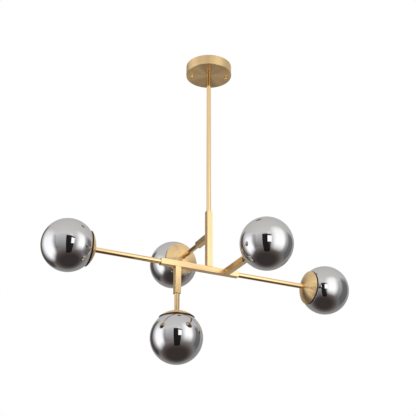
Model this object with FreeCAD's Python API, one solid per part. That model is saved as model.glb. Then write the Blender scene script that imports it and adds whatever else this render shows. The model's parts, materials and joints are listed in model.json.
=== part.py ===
import FreeCAD, Part
import math
import os

# Branch chandelier.  Five mirrored smoke glass globes sit on round brass rods that branch off a
# frame of square brass blocks.  The frame hangs on one round rod under a round ceiling canopy.
#
# Millimetres.  The origin is the middle of the ceiling bracket's top face, on the ceiling.
# +Z is up, the long main bar lies along X, and the front arm points to -Y.

V = FreeCAD.Vector
UP = V(0, 0, 1)
DOWN = V(0, 0, -1)
LEFT = V(-1, 0, 0)
RIGHT = V(1, 0, 0)
FRONT = V(0, -1, 0)
BACK = V(0, 1, 0)

# ---------------------------------------------------------------- driving sizes

# Ceiling canopy: a shallow drum, open to the ceiling.
canopy_radius = 58.0
canopy_depth = 26.5
canopy_wall = 1.5
canopy_edge_round = 0.8

# Ceiling bracket: a flat strip that holds the canopy by two threaded studs.
bracket_width = 24.0
bracket_thickness = 2.0
bracket_end_margin = 8.0
bracket_turn = -20.0
stud_inset = 14.5
stud_radius = 2.0
stud_hole_clearance = 0.3
stud_nut_flats = 7.0
stud_nut_height = 3.2
ceiling_hole_radius = 2.5
ceiling_hole_from_stud = 13.5
cable_hole_radius = 5.0
earth_screw_offset = 15.0
earth_screw_radius = 2.0
earth_head_radius = 3.6
earth_head_height = 2.4

# Cap nuts: small polished domes that close on the studs under the canopy.
cap_nut_radius = 4.0
cap_nut_skirt = 4.5
cap_nut_thread = 6.0
cap_nut_end_gap = 0.5

# Terminal block: two poles, each with two clamping screws.
terminal_length = 14.0
terminal_width = 20.0
terminal_height = 11.0
terminal_pole_spacing = 9.0
terminal_screw_spacing = 7.0
terminal_wire_radius = 1.7
terminal_screw_radius = 1.4
terminal_screw_length = 4.0
terminal_screw_slot = 0.6
terminal_gap = 1.0

# Round rods and the hollow threaded nipples inside their ends.  All rods share one bore, and the
# down rod has the thinner wall.
rod_radius = 6.0
rod_wall = 1.4
down_rod_wall = 0.9
nipple_wall = 1.25
nipple_in_rod = 12.0
nipple_in_block = 10.0
thread_clearance = 0.1
turning_clearance = 0.08

# Hexagon nuts on the nipples, and the washer in the canopy.
nut_ring = 2.5
nut_height = 3.6
top_nut_height = 6.0
top_washer_radius = 8.5
top_washer_height = 1.2
nipple_past_nut = 2.0

# Square blocks.  Each reach is measured from the stem's axis, each height from the bar's axis.
bar_side = 14.0
block_edge = 0.4
down_rod_length = 385.0
stem_length = 144.0
bar_left_reach = 124.5
bar_right_reach = 76.0
front_arm_reach = 44.0
bottom_arm_reach = 81.0
back_arm_height = 85.5
front_block_length = 90.0
back_block_length = 55.0
bottom_block_length = 65.0

# Bare length of each arm's rod, between its block and its cup.
left_rod_length = 160.0
right_rod_length = 182.0
front_rod_length = 40.5
back_rod_length = 82.5
bottom_rod_length = 42.5

# Glass globe, with a short neck that turns into the black collar behind it.
globe_radius = 60.0
globe_wall = 2.5
shoulder_round = 0.8
neck_clearance = 0.4

# Cup: a spun dome, concentric with the globe.
cup_gap = 1.2
cup_wall = 1.5
cup_depth = 15.5
cup_hole_clearance = 0.2
cup_rim_round = 0.3

# Mounting plate: a black pan that closes the cup; its collar shows between cup and glass.
collar_band = 3.4
collar_wall = 1.6
collar_inset = 0.6
plate_rise = 2.5
plate_wall = 1.5
plate_clearance = 0.3
seat_gap = 0.3

# Ceramic lampholder with its two fixing screws and two contact sleeves.
holder_flange_radius = 14.0
holder_flange_height = 4.0
holder_radius = 9.5
holder_length = 24.0
holder_thread = 3.5
holder_screw_reach = 11.0
holder_screw_radius = 1.2
holder_screw_head_radius = 1.9
holder_screw_head_height = 1.4
holder_screw_end = 0.5
well_depth = 10.0
well_clearance = 0.4
contact_wall = 0.5
contact_length = 6.0
contact_clearance = 0.1

# Two-pin capsule bulb.
bulb_radius = 6.6
bulb_wall = 0.8
bulb_length = 38.0
bulb_base_length = 14.0
bulb_base_width = 14.2
bulb_base_depth = 7.2
bulb_base_round = 1.0
pin_spacing = 9.0
pin_radius = 0.6
pin_length = 7.5

# ---------------------------------------------------------------- derived sizes

hexagon_corner_per_flat = 1 / math.sqrt(3)
same_place = 1e-4

half_bar = bar_side / 2
rod_bore = rod_radius - rod_wall
down_rod_radius = rod_bore + down_rod_wall
nipple_radius = rod_bore - thread_clearance
nipple_bore = nipple_radius - nipple_wall
thread_hole = nipple_radius + thread_clearance
nut_flats = 2 * (nipple_radius + nut_ring)
nut_corner = nut_flats * hexagon_corner_per_flat

canopy_underside = -canopy_depth
canopy_floor = canopy_underside + canopy_wall
stem_top = canopy_underside - down_rod_length
bar_axis_z = stem_top - stem_length - half_bar
bar_top = bar_axis_z + half_bar
bar_underside = bar_axis_z - half_bar
stud_circle = canopy_radius - stud_inset
ceiling_hole_circle = stud_circle - ceiling_hole_from_stud
bracket_half_length = stud_circle + bracket_end_margin
bracket_underside = -bracket_thickness
cap_nut_bore = stud_radius + turning_clearance

# Heights above the globe's centre, along the lamp's own axis and towards its rod.
cup_inner = globe_radius + cup_gap
cup_outer = cup_inner + cup_wall
rim_height = cup_outer - cup_depth
band_low = rim_height - collar_band
shoulder_height = band_low - seat_gap
plate_top = rim_height + plate_rise
plate_low = plate_top - plate_wall
neck_top = plate_low - seat_gap
holder_mouth = plate_low - holder_length
well_floor = holder_mouth + well_depth
bulb_top = well_floor - seat_gap
bulb_base_low = bulb_top - bulb_base_length
cup_hole = nipple_radius + cup_hole_clearance
rod_seat = math.sqrt(cup_outer ** 2 - cup_hole ** 2)
cup_nut_top = math.sqrt(cup_inner ** 2 - nut_corner ** 2)

plate_radius = math.sqrt(cup_inner ** 2 - plate_top ** 2) - plate_clearance
collar_bore = plate_radius - collar_wall
collar_radius = math.sqrt(cup_outer ** 2 - rim_height ** 2) - collar_inset
neck_radius = collar_bore - neck_clearance
neck_bore = neck_radius - globe_wall
contact_bore = pin_radius + contact_clearance
contact_radius = contact_bore + contact_wall
pin_hole_radius = contact_radius + contact_clearance

# Where each arm leaves its block, which way it goes and how long its bare rod is.
ARMS = {
    "left": (V(-bar_left_reach, 0, bar_axis_z), LEFT, left_rod_length),
    "right": (V(bar_right_reach, 0, bar_axis_z), RIGHT, right_rod_length),
    "front": (V(front_arm_reach, -half_bar - front_block_length, bar_axis_z), FRONT, front_rod_length),
    "back": (V(0, half_bar + back_block_length, bar_axis_z + back_arm_height), BACK, back_rod_length),
    "bottom": (V(-bottom_arm_reach, 0, bar_underside - bottom_block_length), DOWN, bottom_rod_length),
}

# Where each block butts against the block that carries it, and which way it goes from there.
JOINTS = {
    "stem": (V(0, 0, bar_top), UP),
    "front": (V(front_arm_reach, -half_bar, bar_axis_z), FRONT),
    "back": (V(0, half_bar, bar_axis_z + back_arm_height), BACK),
    "bottom": (V(-bottom_arm_reach, 0, bar_underside), DOWN),
}


# ---------------------------------------------------------------- helpers

def cylinder(radius, low, high, x=0.0, y=0.0):
    """Upright cylinder between two heights."""
    return Part.makeCylinder(radius, high - low, V(x, y, low))


def tube(radius, bore, low, high, x=0.0, y=0.0):
    """Upright tube between two heights."""
    return cylinder(radius, low, high, x, y).cut(cylinder(bore, low, high, x, y))


def brick(low, high):
    """Box between its lowest and its highest corner."""
    return Part.makeBox(high.x - low.x, high.y - low.y, high.z - low.z, low)


def hexagon_nut(flats, bore, low, high, x=0.0, y=0.0):
    """Upright hexagon nut with a plain bore."""
    corner = flats * hexagon_corner_per_flat
    corners = []
    for i in range(7):
        angle = math.radians(60 * i)
        corners.append(V(x + corner * math.cos(angle), y + corner * math.sin(angle), low))
    body = Part.Face(Part.makePolygon(corners)).extrude(V(0, 0, high - low))
    return body.cut(cylinder(bore, low, high, x, y))


def turned(edges):
    """Solid of revolution about the Z axis, from the edges of its profile."""
    return Part.Face(Part.Wire(edges)).revolve(V(0, 0, 0), UP, 360)


def turned_polygon(points):
    """Solid of revolution from the corners of a straight-sided profile."""
    corners = [V(radius, 0, height) for radius, height in points]
    corners.append(corners[0])
    return turned(Part.makePolygon(corners).Edges)


def line(start, end):
    """Straight edge of a profile."""
    return Part.LineSegment(start, end).toShape()


def on_sphere(radius, height):
    """Point of the profile where a sphere about the globe's centre has this height."""
    return V(math.sqrt(radius ** 2 - height ** 2), 0, height)


def sphere_arc(radius, start_height, end_height):
    """Arc of the profile along such a sphere, between two heights."""
    angle = (math.asin(start_height / radius) + math.asin(end_height / radius)) / 2
    middle = V(radius * math.cos(angle), 0, radius * math.sin(angle))
    return Part.Arc(on_sphere(radius, start_height), middle, on_sphere(radius, end_height)).toShape()


def round_rims(solid, rounding, rims):
    """Round the circular edges that have one of these radii and heights."""
    chosen = []
    for edge in solid.Edges:
        if edge.Degenerated or not isinstance(edge.Curve, Part.Circle):
            continue
        for radius, height in rims:
            same_radius = abs(edge.Curve.Radius - radius) < same_place
            if same_radius and abs(edge.Curve.Center.z - height) < same_place:
                chosen.append(edge)
    return solid.makeFillet(rounding, chosen)


def turn_to(direction):
    """Rotation that lays a piece's own +Z along one of the axes."""
    if direction.z < -0.5:
        return FreeCAD.Rotation(RIGHT, 180)
    return FreeCAD.Rotation(UP, direction)


def placed(shape, position, direction):
    """Copy of a shape with its own +Z laid along a direction, moved to a position."""
    moved = shape.copy()
    moved.Placement = FreeCAD.Placement(position, turn_to(direction))
    return moved


def save(name, *solids):
    """Write the solids of one piece, or of one group of like pieces."""
    shape = solids[0] if len(solids) == 1 else Part.makeCompound(list(solids))
    shape.exportStep("parts/" + name + ".step")
    print(name, len(solids), round(sum(solid.Volume for solid in solids)))


# ---------------------------------------------------------------- ceiling bracket

def on_bracket(shape):
    """Turn what was built along X onto the bracket's own line."""
    turned_shape = shape.copy()
    turned_shape.rotate(V(0, 0, 0), UP, bracket_turn)
    return turned_shape


def ceiling_bracket():
    """Flat strip with the studs' holes, two ceiling screw holes, a cable hole and the earth hole."""
    strip = brick(V(-bracket_half_length, -bracket_width / 2, bracket_underside),
                  V(bracket_half_length, bracket_width / 2, 0))
    strip = strip.cut(cylinder(cable_hole_radius, bracket_underside, 0))
    strip = strip.cut(cylinder(earth_screw_radius + thread_clearance, bracket_underside, 0,
                               -earth_screw_offset))
    for side in (-1, 1):
        strip = strip.cut(cylinder(stud_radius + thread_clearance, bracket_underside, 0,
                                   side * stud_circle))
        strip = strip.cut(cylinder(ceiling_hole_radius, bracket_underside, 0,
                                   side * ceiling_hole_circle))
    return on_bracket(strip)


def earth_screw():
    """Pan-head screw for the earth wire, its head under the strip."""
    head = cylinder(earth_head_radius, bracket_underside - earth_head_height, bracket_underside,
                    -earth_screw_offset)
    shank = cylinder(earth_screw_radius, bracket_underside, 0, -earth_screw_offset)
    return on_bracket(head.fuse(shank).removeSplitter())


def terminal_place():
    """Middle of the terminal block's top face, beside the washer's reach."""
    return top_washer_radius + terminal_gap + terminal_length / 2


def terminal_screw_places():
    """Plan positions of the clamping screws, two on each pole."""
    places = []
    for pole in (-1, 1):
        for end in (-1, 1):
            places.append((terminal_place() + end * terminal_screw_spacing / 2,
                           pole * terminal_pole_spacing / 2))
    return places


def terminal_block():
    """Moulded block under the strip, with a wire way through each pole."""
    low = bracket_underside - terminal_height
    start = terminal_place() - terminal_length / 2
    block = brick(V(start, -terminal_width / 2, low),
                  V(start + terminal_length, terminal_width / 2, bracket_underside))
    for pole in (-1, 1):
        way = Part.makeCylinder(terminal_wire_radius, terminal_length,
                                V(start, pole * terminal_pole_spacing / 2, low + terminal_height / 2),
                                RIGHT)
        block = block.cut(way)
    for x, y in terminal_screw_places():
        hole = cylinder(terminal_screw_radius + thread_clearance, low, low + terminal_screw_length, x, y)
        block = block.cut(hole)
    return on_bracket(block)


def terminal_screws():
    """Slotted clamping screws, flush with the block's underside."""
    low = bracket_underside - terminal_height
    screws = []
    for x, y in terminal_screw_places():
        screw = cylinder(terminal_screw_radius, low, low + terminal_screw_length, x, y)
        slot = brick(V(x - terminal_screw_radius, y - terminal_screw_slot / 2, low),
                     V(x + terminal_screw_radius, y + terminal_screw_slot / 2, low + terminal_screw_slot))
        screws.append(on_bracket(screw.cut(slot)))
    return screws


def bracket_studs():
    """Threaded studs from the strip's top face to inside the cap nuts."""
    low = canopy_underside - cap_nut_thread
    return [on_bracket(cylinder(stud_radius, low, 0, side * stud_circle)) for side in (-1, 1)]


def stud_nuts():
    """Nuts that lock the studs under the strip."""
    nuts = []
    for side in (-1, 1):
        nut = hexagon_nut(stud_nut_flats, stud_radius + thread_clearance,
                          bracket_underside - stud_nut_height, bracket_underside, side * stud_circle)
        nuts.append(on_bracket(nut))
    return nuts


# ---------------------------------------------------------------- canopy

def canopy():
    """Spun drum with a flat underside, a middle hole and two stud holes."""
    inner = canopy_radius - canopy_wall
    shell = turned_polygon([(0, canopy_underside), (canopy_radius, canopy_underside),
                            (canopy_radius, 0), (inner, 0), (inner, canopy_floor), (0, canopy_floor)])
    shell = round_rims(shell, canopy_edge_round, [(canopy_radius, canopy_underside)])
    pivot_hole = nipple_radius + turning_clearance
    shell = shell.cut(cylinder(pivot_hole, canopy_underside, canopy_floor))
    for side in (-1, 1):
        hole = cylinder(stud_radius + stud_hole_clearance, canopy_underside, canopy_floor,
                        side * stud_circle)
        shell = shell.cut(on_bracket(hole))
    return shell


def cap_nut(side):
    """Domed nut with a blind threaded hole, closed face to face on the canopy."""
    skirt_low = canopy_underside - cap_nut_skirt
    edges = [
        line(V(0, 0, canopy_underside), V(cap_nut_radius, 0, canopy_underside)),
        line(V(cap_nut_radius, 0, canopy_underside), V(cap_nut_radius, 0, skirt_low)),
        Part.Arc(V(cap_nut_radius, 0, skirt_low),
                 V(cap_nut_radius * math.sqrt(0.5), 0, skirt_low - cap_nut_radius * math.sqrt(0.5)),
                 V(0, 0, skirt_low - cap_nut_radius)).toShape(),
        line(V(0, 0, skirt_low - cap_nut_radius), V(0, 0, canopy_underside)),
    ]
    nut = turned(edges)
    hole_low = canopy_underside - cap_nut_thread - cap_nut_end_gap
    nut = nut.cut(cylinder(cap_nut_bore, hole_low, canopy_underside))
    nut.translate(V(side * stud_circle, 0, 0))
    return on_bracket(nut)


# ---------------------------------------------------------------- down rod and its hanger

def top_washer():
    """Washer on the canopy's floor."""
    return tube(top_washer_radius, thread_hole, canopy_floor, canopy_floor + top_washer_height)


def top_lock_nut():
    """Nut that carries the lamp on the washer."""
    low = canopy_floor + top_washer_height
    return hexagon_nut(nut_flats, thread_hole, low, low + top_nut_height)


def top_nipple():
    """Hollow threaded tube from the down rod's end up through the canopy."""
    high = canopy_floor + top_washer_height + top_nut_height + nipple_past_nut
    return tube(nipple_radius, nipple_bore, canopy_underside - nipple_in_rod, high)


def down_rod():
    """Round tube from the canopy's underside to the stem block."""
    return tube(down_rod_radius, rod_bore, stem_top, canopy_underside)


# ---------------------------------------------------------------- square blocks

def square_block(length):
    """Drilled square block from its own origin up, threaded at both ends."""
    block = brick(V(-half_bar, -half_bar, 0), V(half_bar, half_bar, length))
    block = block.makeChamfer(block_edge, block.Edges)
    block = block.cut(cylinder(nipple_bore, 0, length))
    block = block.cut(cylinder(thread_hole, 0, nipple_in_block))
    return block.cut(cylinder(thread_hole, length - nipple_in_block, length))


def side_hole(joint):
    """Threaded hole from a joint's plane to the axis of the block that carries it."""
    position, direction = JOINTS[joint]
    return placed(cylinder(thread_hole, 0, half_bar), position, direction * -1)


def stem_block():
    """Upright block on the main bar, with the back block's hole in its back face."""
    position, direction = JOINTS["stem"]
    return placed(square_block(stem_length), position, direction).cut(side_hole("back"))


def main_bar():
    """Long block along X, with the holes of the stem, the front block and the bottom block."""
    start = V(-bar_left_reach, 0, bar_axis_z)
    bar = placed(square_block(bar_left_reach + bar_right_reach), start, RIGHT)
    for joint in ("stem", "front", "bottom"):
        bar = bar.cut(side_hole(joint))
    return bar


def branch_block(joint, length):
    """Block that stands off another block's side."""
    position, direction = JOINTS[joint]
    return placed(square_block(length), position, direction)


def block_nipple(joint):
    """Hollow threaded tube that screws a block to the block that carries it."""
    position, direction = JOINTS[joint]
    nipple = tube(nipple_radius, nipple_bore, nipple_bore - half_bar, nipple_in_block)
    return placed(nipple, position, direction)


def rod_nipple(position, direction):
    """Hollow threaded tube half in a block's end and half in its rod."""
    nipple = tube(nipple_radius, nipple_bore, -nipple_in_block, nipple_in_rod)
    return placed(nipple, position, direction)


def arm_rod(name):
    """Round tube from a block's end to the arm's cup."""
    position, direction, length = ARMS[name]
    return placed(tube(rod_radius, rod_bore, 0, length), position, direction)


# ---------------------------------------------------------------- lamp, about the globe's centre

def cup():
    """Spun dome behind the globe, with a hole for the nipple at its crown."""
    edges = [
        sphere_arc(cup_outer, rim_height, rod_seat),
        line(on_sphere(cup_outer, rod_seat), V(cup_hole, 0, math.sqrt(cup_inner ** 2 - cup_hole ** 2))),
        sphere_arc(cup_inner, math.sqrt(cup_inner ** 2 - cup_hole ** 2), rim_height),
        line(on_sphere(cup_inner, rim_height), on_sphere(cup_outer, rim_height)),
    ]
    rim_radius = math.sqrt(cup_outer ** 2 - rim_height ** 2)
    return round_rims(turned(edges), cup_rim_round, [(rim_radius, rim_height)])


def mounting_plate():
    """Pan that closes the cup; its collar takes the glass neck."""
    plate = turned_polygon([(collar_bore, band_low), (collar_radius, band_low),
                            (collar_radius, rim_height), (plate_radius, rim_height),
                            (plate_radius, plate_top), (thread_hole, plate_top),
                            (thread_hole, plate_low), (collar_bore, plate_low)])
    for side in (-1, 1):
        plate = plate.cut(cylinder(holder_screw_radius + contact_clearance, plate_low, plate_top,
                                   side * holder_screw_reach))
    return plate


def globe():
    """Blown sphere with a flat shoulder and a short neck."""
    inner = globe_radius - globe_wall
    inner_shoulder = shoulder_height - globe_wall
    edges = [
        sphere_arc(globe_radius, -globe_radius, shoulder_height),
        line(on_sphere(globe_radius, shoulder_height), V(neck_radius, 0, shoulder_height)),
        line(V(neck_radius, 0, shoulder_height), V(neck_radius, 0, neck_top)),
        line(V(neck_radius, 0, neck_top), V(neck_bore, 0, neck_top)),
        line(V(neck_bore, 0, neck_top), V(neck_bore, 0, inner_shoulder)),
        line(V(neck_bore, 0, inner_shoulder), on_sphere(inner, inner_shoulder)),
        sphere_arc(inner, inner_shoulder, -inner),
        line(V(0, 0, -inner), V(0, 0, -globe_radius)),
    ]
    shoulder_radius = math.sqrt(globe_radius ** 2 - shoulder_height ** 2)
    return round_rims(turned(edges), shoulder_round, [(shoulder_radius, shoulder_height)])


def lamp_nipple():
    """Hollow threaded tube from the rod's end through cup and plate into the lampholder."""
    return tube(nipple_radius, nipple_bore, plate_low - holder_thread, rod_seat + nipple_in_rod)


def cup_nut():
    """Nut that clamps the cup on the rod's end."""
    return hexagon_nut(nut_flats, thread_hole, cup_nut_top - nut_height, cup_nut_top)


def plate_nut():
    """Nut that clamps the plate on the nipple."""
    return hexagon_nut(nut_flats, thread_hole, plate_top, plate_top + nut_height)


def lampholder():
    """Ceramic body with a flange, a well for the bulb's base and a hole for each pin."""
    flange_low = plate_low - holder_flange_height
    body = cylinder(holder_flange_radius, flange_low, plate_low)
    body = body.fuse(cylinder(holder_radius, holder_mouth, flange_low)).removeSplitter()
    thread_floor = plate_low - holder_flange_height
    body = body.cut(cylinder(thread_hole, thread_floor, plate_low))
    half_width = bulb_base_width / 2 + well_clearance
    half_depth = bulb_base_depth / 2 + well_clearance
    body = body.cut(brick(V(-half_width, -half_depth, holder_mouth), V(half_width, half_depth, well_floor)))
    for side in (-1, 1):
        body = body.cut(cylinder(pin_hole_radius, well_floor, thread_floor, side * pin_spacing / 2))
        body = body.cut(cylinder(holder_screw_radius + contact_clearance, flange_low, plate_low,
                                 side * holder_screw_reach))
    return body


def holder_screw(side):
    """Small pan-head screw from the plate into the lampholder's flange."""
    x = side * holder_screw_reach
    head = cylinder(holder_screw_head_radius, plate_top, plate_top + holder_screw_head_height, x)
    low = plate_low - holder_flange_height + holder_screw_end
    return head.fuse(cylinder(holder_screw_radius, low, plate_top, x)).removeSplitter()


def contact_sleeve(side):
    """Contact sleeve that grips one pin."""
    return tube(contact_radius, contact_bore, well_floor, well_floor + contact_length,
                side * pin_spacing / 2)


def bulb_base():
    """Flat ceramic foot of the bulb, with its two pins."""
    base = brick(V(-bulb_base_width / 2, -bulb_base_depth / 2, bulb_base_low),
                 V(bulb_base_width / 2, bulb_base_depth / 2, bulb_top))
    upright = [edge for edge in base.Edges if edge.BoundBox.ZLength > bulb_base_length / 2]
    base = base.makeFillet(bulb_base_round, upright)
    for side in (-1, 1):
        base = base.fuse(cylinder(pin_radius, bulb_top, bulb_top + pin_length, side * pin_spacing / 2))
    return base.removeSplitter()


def bulb_glass():
    """Closed glass capsule on the foot, with a round tip."""
    inner = bulb_radius - bulb_wall
    tip_centre = bulb_base_low - bulb_length + bulb_radius

    def capsule(radius, high):
        corner = V(radius, 0, tip_centre)
        tip = V(0, 0, tip_centre - radius)
        middle = V(radius * math.sqrt(0.5), 0, tip_centre - radius * math.sqrt(0.5))
        return turned([
            line(V(0, 0, high), V(radius, 0, high)),
            line(V(radius, 0, high), corner),
            Part.Arc(corner, middle, tip).toShape(),
            line(tip, V(0, 0, high)),
        ])

    return capsule(bulb_radius, bulb_base_low).cut(capsule(inner, bulb_base_low - bulb_wall))


# ---------------------------------------------------------------- build

os.makedirs("parts", exist_ok=True)

save("ceiling_bracket", ceiling_bracket())
save("bracket_studs", *bracket_studs())
save("stud_nuts", *stud_nuts())
save("earth_screw", earth_screw())
save("terminal_block", terminal_block())
save("terminal_screws", *terminal_screws())

save("canopy", canopy())
save("cap_nut_left", cap_nut(-1))
save("cap_nut_right", cap_nut(1))

save("top_washer", top_washer())
save("top_lock_nut", top_lock_nut())
save("top_nipple", top_nipple())
save("down_rod", down_rod())

save("stem_block", stem_block())
save("main_bar", main_bar())
save("front_block", branch_block("front", front_block_length))
save("back_block", branch_block("back", back_block_length))
save("bottom_block", branch_block("bottom", bottom_block_length))
save("block_nipples", *[block_nipple(joint) for joint in JOINTS])
rod_ends = [(V(0, 0, stem_top), UP)] + [arm[:2] for arm in ARMS.values()]
save("rod_nipples", *[rod_nipple(position, direction) for position, direction in rod_ends])

LAMP_PIECES = {
    "cup": cup(),
    "mounting_plate": mounting_plate(),
    "lampholder": lampholder(),
    "globe": globe(),
    "bulb_glass": bulb_glass(),
    "bulb_base": bulb_base(),
}
LAMP_FASTENERS = {
    "lamp_nipples": [lamp_nipple()],
    "cup_nuts": [cup_nut()],
    "plate_nuts": [plate_nut()],
    "holder_screws": [holder_screw(-1), holder_screw(1)],
    "socket_contacts": [contact_sleeve(-1), contact_sleeve(1)],
}

lamp_places = {}
for name, (position, direction, length) in ARMS.items():
    lamp_places[name] = (position + direction * (length + rod_seat), direction * -1)
    save(name + "_rod", arm_rod(name))

for name, (centre, towards_rod) in lamp_places.items():
    for piece, shape in LAMP_PIECES.items():
        save(name + "_" + piece, placed(shape, centre, towards_rod))

for group, shapes in LAMP_FASTENERS.items():
    save(group, *[placed(shape, centre, towards_rod)
                  for centre, towards_rod in lamp_places.values() for shape in shapes])
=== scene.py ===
# %% [markdown]
# # Branch chandelier
# Five mirrored smoke glass globes sit on brass rods that branch off square brass blocks, under a
# round canopy.  The frame gives every piece at its real size and place, so this lesson adds the
# looks: the light it hangs in, the finish of each surface, and the cups and globes, which are turned
# again here with marks that follow the lathe.

# %% Load the frame
import json
import math

import bpy
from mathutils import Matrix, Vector

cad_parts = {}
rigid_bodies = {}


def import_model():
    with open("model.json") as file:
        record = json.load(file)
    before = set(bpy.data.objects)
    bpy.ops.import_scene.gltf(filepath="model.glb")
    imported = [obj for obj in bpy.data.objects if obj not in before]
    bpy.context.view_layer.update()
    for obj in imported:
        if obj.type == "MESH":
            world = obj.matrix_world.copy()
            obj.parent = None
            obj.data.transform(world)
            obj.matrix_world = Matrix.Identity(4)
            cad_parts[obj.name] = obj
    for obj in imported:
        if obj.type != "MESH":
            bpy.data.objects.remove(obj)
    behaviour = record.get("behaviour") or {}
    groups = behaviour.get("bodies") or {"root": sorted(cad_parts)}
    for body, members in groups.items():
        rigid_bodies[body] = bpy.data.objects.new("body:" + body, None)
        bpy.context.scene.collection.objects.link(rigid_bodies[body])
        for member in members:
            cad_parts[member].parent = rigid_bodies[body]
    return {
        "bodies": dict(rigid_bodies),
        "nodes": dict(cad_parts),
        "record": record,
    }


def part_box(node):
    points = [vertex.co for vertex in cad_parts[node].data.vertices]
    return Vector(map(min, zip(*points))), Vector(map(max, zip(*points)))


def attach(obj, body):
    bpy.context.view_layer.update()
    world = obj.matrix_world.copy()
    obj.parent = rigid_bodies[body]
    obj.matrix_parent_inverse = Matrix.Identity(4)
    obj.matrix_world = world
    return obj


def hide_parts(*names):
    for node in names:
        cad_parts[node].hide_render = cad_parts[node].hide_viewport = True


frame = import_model()
nodes = frame["nodes"]
bodies = frame["bodies"]
for stray in list(bpy.data.objects):
    if stray not in nodes.values() and stray not in bodies.values():
        bpy.data.objects.remove(stray)
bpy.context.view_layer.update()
scene = bpy.context.scene

# %% [markdown]
# ## Measures
# A dressed piece has to fit the parts beside it, so nothing here is measured twice: the sizes of
# the lamps are read from the frame.  Each lamp has its own axis, which runs from the far side of
# the globe to the rod.  On that axis a globe and a cup are plain turned shapes, so a point is
# described by its height along the axis and its distance from it.

# %% Lamp axes
# The way from the rod through the globe's centre, for each lamp.
OUTWARD = {
    "left": Vector((-1, 0, 0)),
    "right": Vector((1, 0, 0)),
    "front": Vector((0, -1, 0)),
    "back": Vector((0, 1, 0)),
    "bottom": Vector((0, 0, -1)),
}


def globe_centre(lamp):
    """Middle of a globe and its radius: the sphere fills its box across the axis and outwards."""
    low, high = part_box(lamp + "_globe")
    outward = OUTWARD[lamp]
    across = [axis for axis in range(3) if abs(outward[axis]) < 0.5]
    radius = (high[across[0]] - low[across[0]]) / 2
    centre = (low + high) / 2
    for axis in range(3):
        if outward[axis] > 0.5:
            centre[axis] = high[axis] - radius
        if outward[axis] < -0.5:
            centre[axis] = low[axis] + radius
    return centre, radius


def on_axis(node, lamp):
    """(distance from the axis, height towards the rod) of every point of a lamp's CAD node."""
    centre, _ = globe_centre(lamp)
    outward = OUTWARD[lamp]
    points = []
    for vertex in nodes[node].data.vertices:
        offset = vertex.co - centre
        height = -offset.dot(outward)
        points.append(((offset + outward * height).length, height))
    return points


print("lamps", list(OUTWARD))

# %% Sizes of the globe and the cup
# Points that lie within this of a height belong to the same edge.
touch = 0.00002

globe_points = on_axis("left_globe", "left")
cup_points = on_axis("left_cup", "left")
globe_radius = globe_centre("left")[1]
globe_inner = min(math.hypot(r, h) for r, h in globe_points)
glass = globe_radius - globe_inner
neck_top = max(h for r, h in globe_points)
neck_radius = max(r for r, h in globe_points if h > neck_top - touch)
neck_bore = min(r for r, h in globe_points if h > neck_top - touch)
shoulder = max(h for r, h in globe_points if r > neck_radius + glass / 2)
cup_inner = min(math.hypot(r, h) for r, h in cup_points)
cup_outer = max(math.hypot(r, h) for r, h in cup_points)
cup_rim = min(h for r, h in cup_points)
cup_hole = min(r for r, h in cup_points)


def in_mm(*lengths):
    """Lengths for a printed line, in millimetres."""
    return [round(length * 1000, 2) for length in lengths]


print("globe and glass", in_mm(globe_radius, glass), "neck", in_mm(neck_radius, neck_top),
      "shoulder", in_mm(shoulder))
print("cup", in_mm(cup_outer, cup_inner), "rim", in_mm(cup_rim), "hole", in_mm(cup_hole))

# %% [markdown]
# ## Camera
# The lamp hangs from a ceiling and is seen from below and from the left, through a long lens that
# keeps the five branches close to parallel.  The camera is placed from the point where the stem
# meets the long bar, so it stays right if the lamp is hung higher or lower.

# %% Place the camera
camera_turn = math.radians(-26.05)
camera_pitch = math.radians(24.78)
camera_away = 2.1343
camera_aside = -0.0019
camera_below = 0.8249
lens_length = 83.97
sensor_width = 36.0

UP = Vector((0, 0, 1))
bar_low, bar_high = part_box("main_bar")
crossing = Vector((0, 0, (bar_low.z + bar_high.z) / 2))
into_picture = Vector((-math.sin(camera_turn), math.cos(camera_turn), 0))
picture_right = Vector((math.cos(camera_turn), math.sin(camera_turn), 0))

camera = bpy.data.objects.new("camera", bpy.data.cameras.new("camera"))
scene.collection.objects.link(camera)
scene.camera = camera
camera.data.lens = lens_length
camera.data.sensor_width = sensor_width
camera.location = crossing - into_picture * camera_away + picture_right * camera_aside
camera.location -= UP * camera_below
looking = into_picture * math.cos(camera_pitch) + UP * math.sin(camera_pitch)
camera.rotation_euler = looking.to_track_quat("-Z", "Y").to_euler()
print("camera", [round(value, 3) for value in camera.location])

# %% [markdown]
# ## Nodes
# Materials and shapes are both built from nodes.  Small helpers keep that short: the first adds a
# node, sets its options, and gives each input either a plain value or another node's output, and
# the others use it for steps on numbers and vectors.

# %% Node helpers


def put(tree, kind, inputs=None, **options):
    """Add a node; an input takes a value or another node's output."""
    node = tree.nodes.new(kind)
    for option, value in options.items():
        setattr(node, option, value)
    for name, value in (inputs or {}).items():
        if isinstance(value, bpy.types.NodeSocket):
            tree.links.new(value, node.inputs[name])
        else:
            node.inputs[name].default_value = value
    return node


def math_node(tree, operation, first, second=0.0):
    """Output of one sum, product or other step on two numbers."""
    return put(tree, "ShaderNodeMath", {0: first, 1: second}, operation=operation).outputs[0]


def vector_node(tree, operation, first, second=(0.0, 0.0, 0.0)):
    """Vector output of one step on two vectors."""
    return put(tree, "ShaderNodeVectorMath", {0: first, 1: second}, operation=operation).outputs["Vector"]


def length_of(tree, vector):
    """Output that gives a vector's length."""
    return put(tree, "ShaderNodeVectorMath", {0: vector}, operation="LENGTH").outputs["Value"]


print("helpers", put.__name__, math_node.__name__, vector_node.__name__, length_of.__name__)

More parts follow.
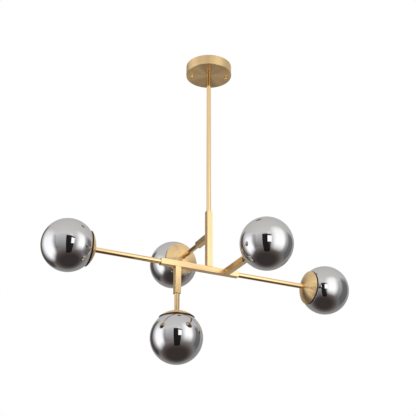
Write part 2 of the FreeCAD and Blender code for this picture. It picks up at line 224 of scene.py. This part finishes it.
# %% [markdown]
# ## Studio
# Polished brass and mirrored glass have hardly any colour of their own: they show the room.  So
# the room is built with care, as a photographer would, from large soft boxes that draw the bright
# patches, and from dark and grey cards that draw the shadows and edges.  The cards only show in
# reflections, and the two soft boxes light the plain surfaces too.  The world is white to the
# camera, to metal and to glass, and a little dimmer as a light, so that plain colours keep their
# own tone.

# %% White surroundings
plain_light = 0.8

world = bpy.data.worlds.new("studio")
scene.world = world
world.use_nodes = True
air = world.node_tree
air.nodes.clear()
path = put(air, "ShaderNodeLightPath")
seen = math_node(air, "MAXIMUM", path.outputs["Is Camera Ray"], path.outputs["Is Glossy Ray"])
seen = math_node(air, "MAXIMUM", seen, path.outputs["Is Transmission Ray"])
strength = put(air, "ShaderNodeMapRange", {"Value": seen, "To Min": plain_light, "To Max": 1.0})
white = put(air, "ShaderNodeBackground", {"Color": (1, 1, 1, 1), "Strength": strength.outputs[0]})
put(air, "ShaderNodeOutputWorld", {"Surface": white.outputs[0]})
scene.view_settings.view_transform = "Standard"
print("plain light", plain_light)

# %% Light of a card


def empty_material(name):
    """A material with nothing in it yet, and its tree."""
    material = bpy.data.materials.new(name)
    material.use_nodes = True
    material.node_tree.nodes.clear()
    return material, material.node_tree


def glow(name, colour, foot, head, soft):
    """A card's light: its strength at the foot and the head, and how far its edges fade."""
    material, tree = empty_material(name)
    over = put(tree, "ShaderNodeUVMap", uv_map="card")
    over = put(tree, "ShaderNodeSeparateXYZ", {0: over.outputs[0]})
    rise = put(tree, "ShaderNodeMapRange", {"Value": over.outputs["Y"], "To Min": foot, "To Max": head})
    light = put(tree, "ShaderNodeEmission", {"Color": (*colour, 1), "Strength": rise.outputs[0]})
    shown = light.outputs[0]
    if soft > 0:
        fade = 1.0
        for side in ("X", "Y"):
            far = math_node(tree, "SUBTRACT", 1.0, over.outputs[side])
            near = math_node(tree, "MINIMUM", over.outputs[side], far)
            edge = put(tree, "ShaderNodeMapRange", {"Value": near, "From Max": soft},
                       interpolation_type="SMOOTHSTEP")
            fade = math_node(tree, "MULTIPLY", edge.outputs[0], fade)
        clear = put(tree, "ShaderNodeBsdfTransparent")
        mixed = put(tree, "ShaderNodeMixShader", {0: fade, 1: clear.outputs[0], 2: light.outputs[0]})
        shown = mixed.outputs[0]
    put(tree, "ShaderNodeOutputMaterial", {"Surface": shown})
    return material


def pool(name, colour, middle, rim, start, end):
    """A floor's light: it rises from the middle's to the rim's between two distances from the lamp."""
    material, tree = empty_material(name)
    place = put(tree, "ShaderNodeNewGeometry").outputs["Position"]
    away = length_of(tree, vector_node(tree, "MULTIPLY", place, (1.0, 1.0, 0.0)))
    rise = put(tree, "ShaderNodeMapRange", {"Value": away, "From Min": start, "From Max": end,
                                            "To Min": middle, "To Max": rim},
               interpolation_type="SMOOTHSTEP")
    light = put(tree, "ShaderNodeEmission", {"Color": (*colour, 1), "Strength": rise.outputs[0]})
    put(tree, "ShaderNodeOutputMaterial", {"Surface": light.outputs[0]})
    return material


print("lights", glow.__name__, pool.__name__)

# %% Cards
boards = []


def studio_point(right, toward, height):
    """A place in the studio: to the right of the stem, towards the camera, and its height."""
    return picture_right * right - into_picture * toward + UP * height


def card(name, corners, light, lights_plain=False):
    """A flat card from its four corners; plain surfaces are lit by it only where that is asked."""
    mesh = bpy.data.meshes.new(name)
    mesh.from_pydata([tuple(corner) for corner in corners], [], [(0, 1, 2, 3)])
    layer = mesh.uv_layers.new(name="card")
    for loop, place in zip(layer.data, ((0, 0), (1, 0), (1, 1), (0, 1))):
        loop.uv = place
    mesh.materials.append(light)
    board = bpy.data.objects.new(name, mesh)
    scene.collection.objects.link(board)
    board.visible_camera = False
    board.visible_shadow = False
    board.visible_diffuse = lights_plain
    light.cycles.emission_sampling = "AUTO" if lights_plain else "NONE"
    boards.append(name)


def upright(name, start, end, low, high, light, lights_plain=False):
    """A card that stands between two plan positions and two heights."""
    card(name, [studio_point(*start, low), studio_point(*end, low),
                studio_point(*end, high), studio_point(*start, high)], light, lights_plain)


def level(name, reach, height, light):
    """A square card that lies flat at one height."""
    card(name, [studio_point(-reach, reach, height), studio_point(reach, reach, height),
                studio_point(reach, -reach, height), studio_point(-reach, -reach, height)], light)


# %% [markdown]
# Two large soft boxes light the lamp, one on each side of the camera.  Their edges fade, so that a
# curved mirror shows them as soft ovals and a flat one as an even sheen.  Between them a tall
# black card with a small bright window gives the globes their dark heart.

# %% Soft boxes and black cards
# A plan position is (right of the stem, towards the camera), and all places are in metres.
upright("soft_box_right", (0.2, 0.86), (1.05, 0.2), -1.25, 0.42,
        glow("right_box_light", (1.0, 1.0, 1.0), 2.0, 1.3, 0.38), True)
upright("soft_box_left", (-1.1, -0.42), (-1.14, 1.0), -1.75, 0.36,
        glow("left_box_light", (0.96, 0.96, 1.0), 1.9, 1.5, 0.36), True)
upright("strip_light", (0.0, 1.7), (0.62, 1.7), -0.02, 0.34, glow("strip", (1.0, 1.0, 1.0), 1.1, 1.1, 0.3))

frame_away = 1.28
window_away = 1.27
window_low, window_high = -0.84, -0.34
frame_left, window_left = -0.3, 0.14
black = glow("black", (1.0, 0.9, 0.85), 0.015, 0.03, 0.0)
upright("window", (window_left, window_away), (0.46, window_away), window_low, window_high,
        glow("window_light", (1.0, 1.0, 1.0), 1.7, 1.7, 0.0))
upright("black_card", (frame_left, frame_away), (window_left, frame_away), -2.2, -0.16, black)
upright("black_top", (window_left, frame_away), (0.5, frame_away), window_high, -0.22, black)
upright("black_foot", (window_left, frame_away), (0.42, frame_away), -2.2, window_low, black)
print("cards", boards)

# %% [markdown]
# The room closes the studio with grey walls, a warm dark floor and a pale ceiling, and two flags
# keep light off the sides that should stay dark.

# %% Room and flags
room_reach = 2.6
room_floor = -2.3
room_ceiling = 0.8
pool_start = 0.8
pool_end = 3.2

# Each wall: its two plan corners as parts of the reach, its colour, and its light at foot and head.
WALLS = {
    "front": ((-1, 1), (1, 1), (0.98, 0.98, 1.0), 0.26, 0.9),
    "left": ((-1, -1), (-1, 1), (0.98, 0.97, 1.0), 0.24, 0.7),
    "right": ((1, -1), (1, 1), (0.98, 0.98, 1.0), 0.26, 0.75),
    "back": ((-1, -1), (1, -1), (1.0, 0.98, 0.96), 0.36, 0.55),
}
for side, (start, end, colour, foot, head) in WALLS.items():
    start, end = [(right * room_reach, toward * room_reach) for right, toward in (start, end)]
    grey = glow(side + "_grey", colour, foot, head, 0.0)
    upright(side + "_wall", start, end, room_floor, room_ceiling, grey)
upright("right_flag", (1.3, -1.1), (1.3, 0.2), -1.6, 0.4,
        glow("right_shade", (0.95, 0.95, 1.0), 0.16, 0.28, 0.25))
upright("left_flag", (-1.3, -1.9), (-1.3, -0.5), -1.8, 1.0,
        glow("left_shade", (1.0, 0.9, 0.84), 0.07, 0.18, 0.18))
level("dark_floor", room_reach, room_floor,
      pool("floor_brown", (1.0, 0.84, 0.79), 0.06, 0.34, pool_start, pool_end))
level("ceiling", room_reach, room_ceiling, glow("ceiling_grey", (1.0, 0.985, 0.97), 0.95, 0.66, 0.0))
print("cards", len(boards))

# %% [markdown]
# The floor is plain and pale, and so far down that the lamp's own view never meets it.  It is
# there for the other views, and it keeps a soft shadow of the lamp.

# %% Floor
floor_height = -2.4
floor_reach = 6.0

floor_paint = bpy.data.materials.new("floor_paint")
floor_paint.use_nodes = True
floor_shader = floor_paint.node_tree.nodes["Principled BSDF"]
floor_shader.inputs["Base Color"].default_value = (0.82, 0.81, 0.80, 1)
floor_shader.inputs["Roughness"].default_value = 0.9
floor_shader.inputs["Specular IOR Level"].default_value = 0.2
floor_mesh = bpy.data.meshes.new("floor")
floor_corners = [(x * floor_reach, y * floor_reach, floor_height)
                 for x, y in ((-1, -1), (1, -1), (1, 1), (-1, 1))]
floor_mesh.from_pydata(floor_corners, [], [(0, 1, 2, 3)])
floor_mesh.materials.append(floor_paint)
floor = bpy.data.objects.new("floor", floor_mesh)
scene.collection.objects.link(floor)
print("floor at", floor_height)

# %% [markdown]
# ## Brass
# All the brass is one metal in three finishes.  The blocks are ground lengthwise on a belt, the
# rods are polished, and the canopy and the cups are spun and brushed on a lathe.  A brushed
# surface is full of fine grooves, and it spreads light across them but not along them.  So each
# finish is told which way its grooves run, its tangent is laid across them, and the same
# direction stretches the noise that varies its colour, its roughness and its bump.

# %% Brass tones
brass_bright = (0.93, 0.68, 0.36)
brass_tarnish = (0.68, 0.44, 0.19)


def blend_tone(share):
    """Brass that is this much tarnished."""
    return tuple(a + (b - a) * share for a, b in zip(brass_bright, brass_tarnish))


print("half tarnished", [round(part, 3) for part in blend_tone(0.5)])

# %% Streaks and grooves
groove_relief = 0.2
broad_shift = 3.1
thin_shift = 7.7


def finish(name, sockets):
    """A new material, with constants set on its shader."""
    material = bpy.data.materials.new(name)
    material.use_nodes = True
    shader = material.node_tree.nodes["Principled BSDF"]
    for socket, value in sockets.items():
        shader.inputs[socket].default_value = value
    return material, material.node_tree, shader


def streaks(tree, place, lengths, shift, detail=3.0):
    """Noise drawn out into streaks, with the size of one streak along each direction of its place."""
    scale = [1 / length for length in lengths]
    drawn = put(tree, "ShaderNodeMapping", {"Vector": place, "Scale": scale, "Location": [shift] * 3})
    noise = put(tree, "ShaderNodeTexNoise", {"Vector": drawn.outputs[0], "Scale": 1.0, "Detail": detail,
                                             "Roughness": 0.6})
    return noise.outputs["Fac"]


def across_grooves(tree, run):
    """Tangent at right angles to the grooves' run and to the surface."""
    normal = put(tree, "ShaderNodeTexCoord").outputs["Normal"]
    across = vector_node(tree, "CROSS_PRODUCT", normal, run)
    turned = put(tree, "ShaderNodeVectorTransform", {0: across}, vector_type="VECTOR",
                 convert_from="OBJECT", convert_to="WORLD")
    return turned.outputs[0]


def groove_marks(tree, shader, place, coarse, fine, tones, roughness, depth):
    """Colour from broad streaks, bump from fine ones, and roughness from both."""
    broad = streaks(tree, place, coarse, broad_shift)
    thin = streaks(tree, place, fine, thin_shift, 2.0)
    share = put(tree, "ShaderNodeMapRange", {"Value": broad, "From Min": 0.35, "From Max": 0.72})
    colour = put(tree, "ShaderNodeMix", {"Factor": share.outputs[0], 6: (*tones[0], 1), 7: (*tones[1], 1)},
                 data_type="RGBA")
    tree.links.new(colour.outputs[2], shader.inputs["Base Color"])
    both = math_node(tree, "ADD", math_node(tree, "MULTIPLY", broad, 0.4),
                     math_node(tree, "MULTIPLY", thin, 0.6))
    rough = put(tree, "ShaderNodeMapRange", {"Value": both, "From Min": 0.3, "From Max": 0.7,
                                             "To Min": roughness[0], "To Max": roughness[1]})
    tree.links.new(rough.outputs[0], shader.inputs["Roughness"])
    bump = put(tree, "ShaderNodeBump", {"Height": thin, "Strength": groove_relief, "Distance": depth})
    tree.links.new(bump.outputs[0], shader.inputs["Normal"])


print("groove relief", groove_relief)

# %% Ground brass for the square blocks
satin_roughness = (0.27, 0.35)
# A belt mark's length along the run and its width across it.
broad_mark = (0.045, 0.0026)
fine_mark = (0.03, 0.0006)
belt_depth = 0.00001


def ground_brass(run):
    """Satin brass with belt marks along one of the axes, 0 for X, 1 for Y and 2 for Z."""
    material, tree, shader = finish("satin_brass_" + "xyz"[run], {"Metallic": 1.0, "Anisotropic": 0.6})
    place = put(tree, "ShaderNodeTexCoord").outputs["Object"]
    direction = tuple(1.0 if axis == run else 0.0 for axis in range(3))
    coarse = [broad_mark[0] if axis == run else broad_mark[1] for axis in range(3)]
    fine = [fine_mark[0] if axis == run else fine_mark[1] for axis in range(3)]
    tones = (blend_tone(0.0), blend_tone(0.25))
    groove_marks(tree, shader, place, coarse, fine, tones, satin_roughness, belt_depth)
    tree.links.new(across_grooves(tree, direction), shader.inputs["Tangent"])
    return material


satin = [ground_brass(run) for run in range(3)]
print("satin brass", [material.name for material in satin])

# %% Polished brass for the rods and cap nuts
polished_roughness = (0.06, 0.1)
haze_size = 0.009
hairline_size = 0.0012
hairline_depth = 0.000004


def polished_brass():
    """Buffed brass with a faint haze, so that its mirror image has soft edges."""
    material, tree, shader = finish("polished_brass", {"Metallic": 1.0})
    place = put(tree, "ShaderNodeTexCoord").outputs["Object"]
    tones = (blend_tone(0.0), blend_tone(0.2))
    groove_marks(tree, shader, place, [haze_size] * 3, [hairline_size] * 3, tones, polished_roughness,
                 hairline_depth)
    return material


polished = polished_brass()
print("polished brass", polished.name)

# %% [markdown]
# A lathe leaves its marks in circles.  For the canopy the axis is the frame's own Z, so the
# circles can be worked out from the object coordinates.  A cup's axis points another way on
# each branch, so its mesh carries two attributes: its place as it lay on the lathe, and the
# direction in which the tool ran there.

# %% Lathe-brushed brass
lathe_roughness = (0.32, 0.4)
lathe_stretch = 0.95
# A ring's length on a circle of radius 1, in X and Y, and its width along the profile, in metres.
broad_ring = (1.4, 1.4, 0.0022)
fine_ring = (0.8, 0.8, 0.0006)
tool_depth = 0.00001


def lathe_place(tree, place, climb):
    """Place for circular streaks: the turn in X and Y, and the way along the profile in Z.

    The way is the distance from the axis plus climb times the height, so climb is 1 or -1, whichever
    makes both grow together.
    """
    parts = put(tree, "ShaderNodeSeparateXYZ", {0: place})
    flat = put(tree, "ShaderNodeCombineXYZ", {"X": parts.outputs["X"], "Y": parts.outputs["Y"]}).outputs[0]
    around = put(tree, "ShaderNodeSeparateXYZ", {0: vector_node(tree, "NORMALIZE", flat)})
    climbed = math_node(tree, "MULTIPLY", parts.outputs["Z"], climb)
    travel = math_node(tree, "ADD", length_of(tree, flat), climbed)
    return put(tree, "ShaderNodeCombineXYZ", {"X": around.outputs["X"], "Y": around.outputs["Y"],
                                              "Z": travel}).outputs[0]


def lathe_brass(name, on_mesh, climb, tones):
    """Brass brushed in circles; the place is stored on the mesh, or it is the frame's own."""
    material, tree, shader = finish(name, {"Metallic": 1.0, "Anisotropic": lathe_stretch})
    if on_mesh:
        place = put(tree, "ShaderNodeAttribute", attribute_name="place").outputs["Vector"]
        run = put(tree, "ShaderNodeAttribute", attribute_name="tool_run").outputs["Vector"]
    else:
        place = put(tree, "ShaderNodeTexCoord").outputs["Object"]
        run = vector_node(tree, "CROSS_PRODUCT", (0.0, 0.0, 1.0), place)
    groove_marks(tree, shader, lathe_place(tree, place, climb), broad_ring, fine_ring, tones, lathe_roughness,
                 tool_depth)
    tree.links.new(across_grooves(tree, vector_node(tree, "NORMALIZE", run)), shader.inputs["Tangent"])
    return material


canopy_brass = lathe_brass("brushed_brass_canopy", False, 1.0, (blend_tone(0.05), blend_tone(0.4)))
cup_brass = lathe_brass("brushed_brass_cup", True, -1.0, (blend_tone(0.0), blend_tone(0.3)))
print("lathe brass", canopy_brass.name, cup_brass.name)

# %% [markdown]
# ## Mirrored glass
# The globes are smoke glass with a thin mirror coat outside, so they return about half of the
# light as a sharp picture and hide the bulb.  Blown glass is never quite even, and a very faint
# wave in its surface bends the picture a little.  Towards the rim a plain metal would turn white;
# the specular tint keeps the edge dark, as smoke glass is.

# %% Smoke glass
mirror_tone = (0.6, 0.6, 0.6)
mirror_edge = (0.85, 0.85, 0.85)
smoke_tone = (0.035, 0.033, 0.034)
waves_per_metre = 28.0
wave_height = 0.0006
film_per_metre = 60.0
film_roughness = (0.02, 0.06)


def smoke_glass():
    """Mirror outside and dark smoke glass inside, told apart by the distance from the centre."""
    material, tree, shader = finish("smoke_glass", {"Base Color": (*mirror_tone, 1), "Metallic": 1.0,
                                                    "Specular Tint": (*mirror_edge, 1)})
    place = put(tree, "ShaderNodeAttribute", attribute_name="place").outputs["Vector"]
    wave = put(tree, "ShaderNodeTexNoise", {"Vector": place, "Scale": waves_per_metre, "Detail": 1.0})
    ripple = put(tree, "ShaderNodeBump", {"Height": wave.outputs["Fac"], "Strength": 0.25,
                                          "Distance": wave_height})
    tree.links.new(ripple.outputs[0], shader.inputs["Normal"])
    film = put(tree, "ShaderNodeTexNoise", {"Vector": place, "Scale": film_per_metre, "Detail": 4.0})
    rough = put(tree, "ShaderNodeMapRange", {"Value": film.outputs["Fac"], "To Min": film_roughness[0],
                                             "To Max": film_roughness[1]})
    tree.links.new(rough.outputs[0], shader.inputs["Roughness"])
    inside = put(tree, "ShaderNodeBsdfPrincipled", {"Base Color": (*smoke_tone, 1), "Roughness": 0.12,
                                                    "IOR": 1.5})
    is_outside = math_node(tree, "GREATER_THAN", length_of(tree, place), (globe_radius + globe_inner) / 2)
    both = put(tree, "ShaderNodeMixShader", {0: is_outside, 1: inside.outputs[0], 2: shader.outputs[0]})
    tree.links.new(both.outputs[0], tree.nodes["Material Output"].inputs["Surface"])
    return material


mirror_glass = smoke_glass()
print("glass", mirror_glass.name)

# %% [markdown]
# ## Small parts
# The rest is bought-in hardware: zinc plated steel, moulded plastic, glazed ceramic, nylon and
# thin brass contacts.  None of it is large, but each has its own grain: zinc is cloudy, ceramic
# has a smooth glaze over slight waves, and moulded plastic has a fine matt texture.

# %% Plain finishes


def speckled(name, tones, grain, roughness, depth, sockets):
    """A material whose tone and roughness wander with a grain of this size."""
    material, tree, shader = finish(name, sockets)
    place = put(tree, "ShaderNodeTexCoord").outputs["Object"]
    noise = put(tree, "ShaderNodeTexNoise", {"Vector": place, "Scale": 1 / grain, "Detail": 4.0})
    cloud = noise.outputs["Fac"]
    colour = put(tree, "ShaderNodeMix", {"Factor": cloud, 6: (*tones[0], 1), 7: (*tones[1], 1)},
                 data_type="RGBA")
    tree.links.new(colour.outputs[2], shader.inputs["Base Color"])
    rough = put(tree, "ShaderNodeMapRange", {"Value": cloud, "From Min": 0.3, "From Max": 0.7,
                                             "To Min": roughness[0], "To Max": roughness[1]})
    tree.links.new(rough.outputs[0], shader.inputs["Roughness"])
    bump = put(tree, "ShaderNodeBump", {"Height": cloud, "Strength": 0.3, "Distance": depth})
    tree.links.new(bump.outputs[0], shader.inputs["Normal"])
    return material


FINISHES = {
    "polished_brass": polished,
    "brushed_brass": canopy_brass,
    "zinc_steel": speckled("zinc_steel", ((0.62, 0.63, 0.64), (0.48, 0.49, 0.51)), 0.004, (0.28, 0.42),
                           0.00003, {"Metallic": 1.0}),
    "contact_brass": speckled("contact_brass", ((0.86, 0.62, 0.30), (0.70, 0.47, 0.21)), 0.002, (0.25, 0.35),
                              0.00001, {"Metallic": 1.0}),
    "black_plastic": speckled("black_plastic", ((0.012, 0.012, 0.013), (0.022, 0.021, 0.022)), 0.0012,
                              (0.45, 0.6), 0.00004, {"IOR": 1.4}),
    "white_nylon": speckled("white_nylon", ((0.80, 0.79, 0.76), (0.72, 0.71, 0.68)), 0.003, (0.4, 0.52),
                            0.00003, {"IOR": 1.53}),
    "white_ceramic": speckled("white_ceramic", ((0.83, 0.82, 0.79), (0.76, 0.75, 0.71)), 0.005, (0.16, 0.26),
                              0.00006, {"IOR": 1.55, "Coat Weight": 0.5}),
    "clear_glass": speckled("clear_glass", ((0.98, 0.98, 0.98), (0.95, 0.96, 0.96)), 0.006, (0.0, 0.03),
                            0.00002, {"IOR": 1.46, "Transmission Weight": 1.0}),
}
print("finishes", list(FINISHES))

# %% Dress the CAD pieces
# The axis along which each block was ground.
BELT_RUN = {"stem_block": 2, "main_bar": 0, "front_block": 1, "back_block": 1, "bottom_block": 2}

for part in frame["record"]["subparts"]:
    dressed = FINISHES.get(part["material_slot"])
    if dressed:
        nodes[part["node"]].material_slots[0].material = dressed
for node, run in BELT_RUN.items():
    nodes[node].material_slots[0].material = satin[run]
print("dressed", sum(1 for node in nodes.values() if node.material_slots))

# %% [markdown]
# ## Turned shells
# A cup is spun from sheet brass and a globe is blown and ground at its neck, and both are the
# same about their axis.  Spin or Screw would turn a profile too, but Geometry Nodes can write
# down, at every point, where it lay on the lathe and which way the tool ran, and the finishes
# above need both.  The tree lays a grid over the turn, takes each row's radius and height from
# the profile, closes the seam and the poles, and last tilts the shell onto its branch.

# %% Tree for a turned shell
weld = 0.000001


def new_tree(name, sockets):
    """A Geometry Nodes tree with named inputs, after the geometry that it starts from."""
    tree = bpy.data.node_groups.new(name, "GeometryNodeTree")
    tree.interface.new_socket("Geometry", in_out="INPUT", socket_type="NodeSocketGeometry")
    tree.interface.new_socket("Geometry", in_out="OUTPUT", socket_type="NodeSocketGeometry")
    for label, kind in sockets:
        tree.interface.new_socket(label, in_out="INPUT", socket_type=kind)
    return tree, tree.nodes.new("NodeGroupInput").outputs


def profile_grid(tree, given):
    """Grid over the turn: its mesh, the turn's angle, and the profile's point for its row."""
    rows = put(tree, "GeometryNodeAttributeDomainSize", {"Geometry": given["Geometry"]}, component="MESH")
    rows = rows.outputs["Point Count"]
    columns = math_node(tree, "ADD", given["Segments"], 1)
    grid = put(tree, "GeometryNodeMeshGrid", {"Size X": 1.0, "Size Y": 1.0, "Vertices X": columns,
                                              "Vertices Y": rows})
    spot = put(tree, "ShaderNodeSeparateXYZ", {0: put(tree, "GeometryNodeInputPosition").outputs[0]})
    turn = math_node(tree, "MULTIPLY", math_node(tree, "ADD", spot.outputs["X"], 0.5), 2 * math.pi)
    share = math_node(tree, "ADD", spot.outputs["Y"], 0.5)
    row = math_node(tree, "ROUND", math_node(tree, "MULTIPLY", share, math_node(tree, "SUBTRACT", rows, 1)))
    profile = put(tree, "GeometryNodeSampleIndex",
                  {"Geometry": given["Geometry"], "Value": put(tree, "GeometryNodeInputPosition").outputs[0],
                   "Index": row}, data_type="FLOAT_VECTOR")
    return grid.outputs["Mesh"], turn, profile.outputs["Value"]


def wrap(tree, turn, radius, height):
    """A point of the profile, carried round the axis."""
    east = math_node(tree, "MULTIPLY", radius, math_node(tree, "COSINE", turn))
    north = math_node(tree, "MULTIPLY", radius, math_node(tree, "SINE", turn))
    return put(tree, "ShaderNodeCombineXYZ", {"X": east, "Y": north, "Z": height}).outputs[0]


def keep(tree, mesh, name, value):
    """Store a vector on the mesh under a name."""
    return put(tree, "GeometryNodeStoreNamedAttribute", {"Geometry": mesh, "Name": name, "Value": value},
               data_type="FLOAT_VECTOR", domain="POINT").outputs[0]


def close_and_place(tree, given, mesh):
    """Close seam and poles, lay the piece on its axis, and give it its finish."""
    closed = put(tree, "GeometryNodeMergeByDistance", {"Geometry": mesh, "Distance": weld}).outputs[0]
    laid = put(tree, "GeometryNodeTransform", {"Geometry": closed, "Translation": given["Centre"],
                                               "Rotation": given["Turn"]}).outputs[0]
    real = put(tree, "GeometryNodeRealizeInstances", {"Geometry": laid}).outputs[0]
    done = put(tree, "GeometryNodeSetMaterial", {"Geometry": real, "Material": given["Finish"]}).outputs[0]
    put(tree, "NodeGroupOutput", {"Geometry": done})


def turned_shell_tree():
    """Turns a profile about its axis, and stores where each point lay on the lathe."""
    tree, given = new_tree("turned_shell", [("Segments", "NodeSocketInt"), ("Centre", "NodeSocketVector"),
                                            ("Turn", "NodeSocketVector"), ("Finish", "NodeSocketMaterial")])
    grid, turn, profile = profile_grid(tree, given)
    point = put(tree, "ShaderNodeSeparateXYZ", {0: profile})
    place = wrap(tree, turn, point.outputs["X"], point.outputs["Z"])
    back = math_node(tree, "MULTIPLY", math_node(tree, "SINE", turn), -1.0)
    flat_run = put(tree, "ShaderNodeCombineXYZ", {"X": back, "Y": math_node(tree, "COSINE", turn)})
    tool = put(tree, "ShaderNodeVectorRotate", {"Vector": flat_run.outputs[0], "Rotation": given["Turn"]},
               rotation_type="EULER_XYZ").outputs[0]
    mesh = keep(tree, grid, "tool_run", tool)
    mesh = keep(tree, mesh, "place", place)
    stored = put(tree, "GeometryNodeInputNamedAttribute", {"Name": "place"}, data_type="FLOAT_VECTOR")
    mesh = put(tree, "GeometryNodeSetPosition", {"Geometry": mesh, "Position": stored.outputs[0]}).outputs[0]
    close_and_place(tree, given, mesh)
    return tree


shell_tree = turned_shell_tree()
print("tree", shell_tree.name, len(shell_tree.nodes), "nodes")

# %% Run a tree
sharp_above = math.radians(35)


def run_tree(name, points, tree, values):
    """Make a polyline, run the tree on it, and keep the result as a plain mesh."""
    start = bpy.data.meshes.new(name)
    start.from_pydata(points, [(i, i + 1) for i in range(len(points) - 1)], [])
    piece = bpy.data.objects.new(name, start)
    scene.collection.objects.link(piece)
    modifier = piece.modifiers.new("made", "NODES")
    modifier.node_group = tree
    for item in tree.interface.items_tree:
        if item.name in values:
            modifier[item.identifier] = values[item.name]
    depsgraph = bpy.context.evaluated_depsgraph_get()
    made = bpy.data.meshes.new_from_object(piece.evaluated_get(depsgraph), preserve_all_data_layers=True,
                                           depsgraph=depsgraph)
    piece.modifiers.clear()
    piece.data = made
    made.shade_smooth()
    made.set_sharp_from_angle(angle=sharp_above)
    return piece


print("edges sharper than", round(math.degrees(sharp_above)), "degrees stay sharp")

# %% [markdown]
# ### Profiles
# A profile is walked so that the solid stays on the same side, which keeps the faces outward.
# Every turn in it is an arc from a formula: the two spheres of a shell, and small rounds where
# sheet metal was deburred or glass was fire polished.

# %% Profile of a globe
sphere_steps = 88
inside_steps = 72
edge_steps = 4


def arc(centre, radius, start, end, steps):
    """Points of an arc in the profile; angles in degrees, 0 away from the axis and 90 up it."""
    points = []
    for i in range(steps + 1):
        angle = math.radians(start + (end - start) * i / steps)
        points.append((centre[0] + radius * math.cos(angle), 0.0, centre[1] + radius * math.sin(angle)))
    return points


def sphere_angle(radius, height):
    """Angle in degrees at which a sphere about the globe's centre has this height."""
    return math.degrees(math.asin(height / radius))


def globe_profile(shoulder_round=0.0012, lip_round=0.0008, neck_fillet=0.001):
    """From the far pole over the outside, the shoulder and the neck, and back along the inside."""
    round_height = shoulder - shoulder_round
    round_centre = (math.sqrt((globe_radius - shoulder_round) ** 2 - round_height ** 2), round_height)
    meets = math.degrees(math.atan2(round_centre[1], round_centre[0]))
    points = arc((0, 0), globe_radius, -90, meets, sphere_steps)
    points[0] = (0.0, 0.0, -globe_radius)
    points += arc(round_centre, shoulder_round, meets, 90, edge_steps + 2)[1:]
    points += arc((neck_radius + neck_fillet, shoulder + neck_fillet), neck_fillet, 270, 180, edge_steps)
    points += arc((neck_radius - lip_round, neck_top - lip_round), lip_round, 0, 90, edge_steps)
    points += arc((neck_bore + lip_round, neck_top - lip_round), lip_round, 90, 180, edge_steps)
    inner_shoulder = shoulder - glass
    points.append((neck_bore, 0.0, inner_shoulder))
    points += arc((0, 0), globe_inner, sphere_angle(globe_inner, inner_shoulder), -90, inside_steps)
    points[-1] = (0.0, 0.0, -globe_inner)
    return points


print("globe profile points", len(globe_profile()))

# %% Profile of a cup
cup_steps = 40
cup_inside_steps = 32
rim_steps = 5


def cup_profile(rim_round=0.0003):
    """Once round the sheet: outside from the rim to the hole, and inside back to the rim."""
    hole_out = math.degrees(math.acos(cup_hole / cup_outer))
    hole_in = math.degrees(math.acos(cup_hole / cup_inner))
    low = cup_rim + rim_round
    out_centre = (math.sqrt((cup_outer - rim_round) ** 2 - low ** 2), low)
    out_meets = math.degrees(math.atan2(out_centre[1], out_centre[0]))
    points = arc(out_centre, rim_round, 270, 360 + out_meets, rim_steps)
    points += arc((0, 0), cup_outer, out_meets, hole_out, cup_steps)[1:]
    points += arc((0, 0), cup_inner, hole_in, sphere_angle(cup_inner, cup_rim), cup_inside_steps)
    points.append(points[0])
    return points


print("cup profile points", len(cup_profile()))

# %% Cups and globes
segments = 128

for lamp, outward in OUTWARD.items():
    centre, _ = globe_centre(lamp)
    turn = outward.to_track_quat("-Z", "Y").to_euler()
    laid = {"Segments": segments, "Centre": centre, "Turn": tuple(turn)}
    cup = run_tree(lamp + "_spun_cup", cup_profile(), shell_tree, {**laid, "Finish": cup_brass})
    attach(cup, "frame")
    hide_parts(lamp + "_cup")
    globe = run_tree(lamp + "_blown_globe", globe_profile(), shell_tree, {**laid, "Finish": mirror_glass})
    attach(globe, lamp + "_globe")
    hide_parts(lamp + "_globe")
    print(lamp, "cup", len(cup.data.polygons), "globe", len(globe.data.polygons), "faces")
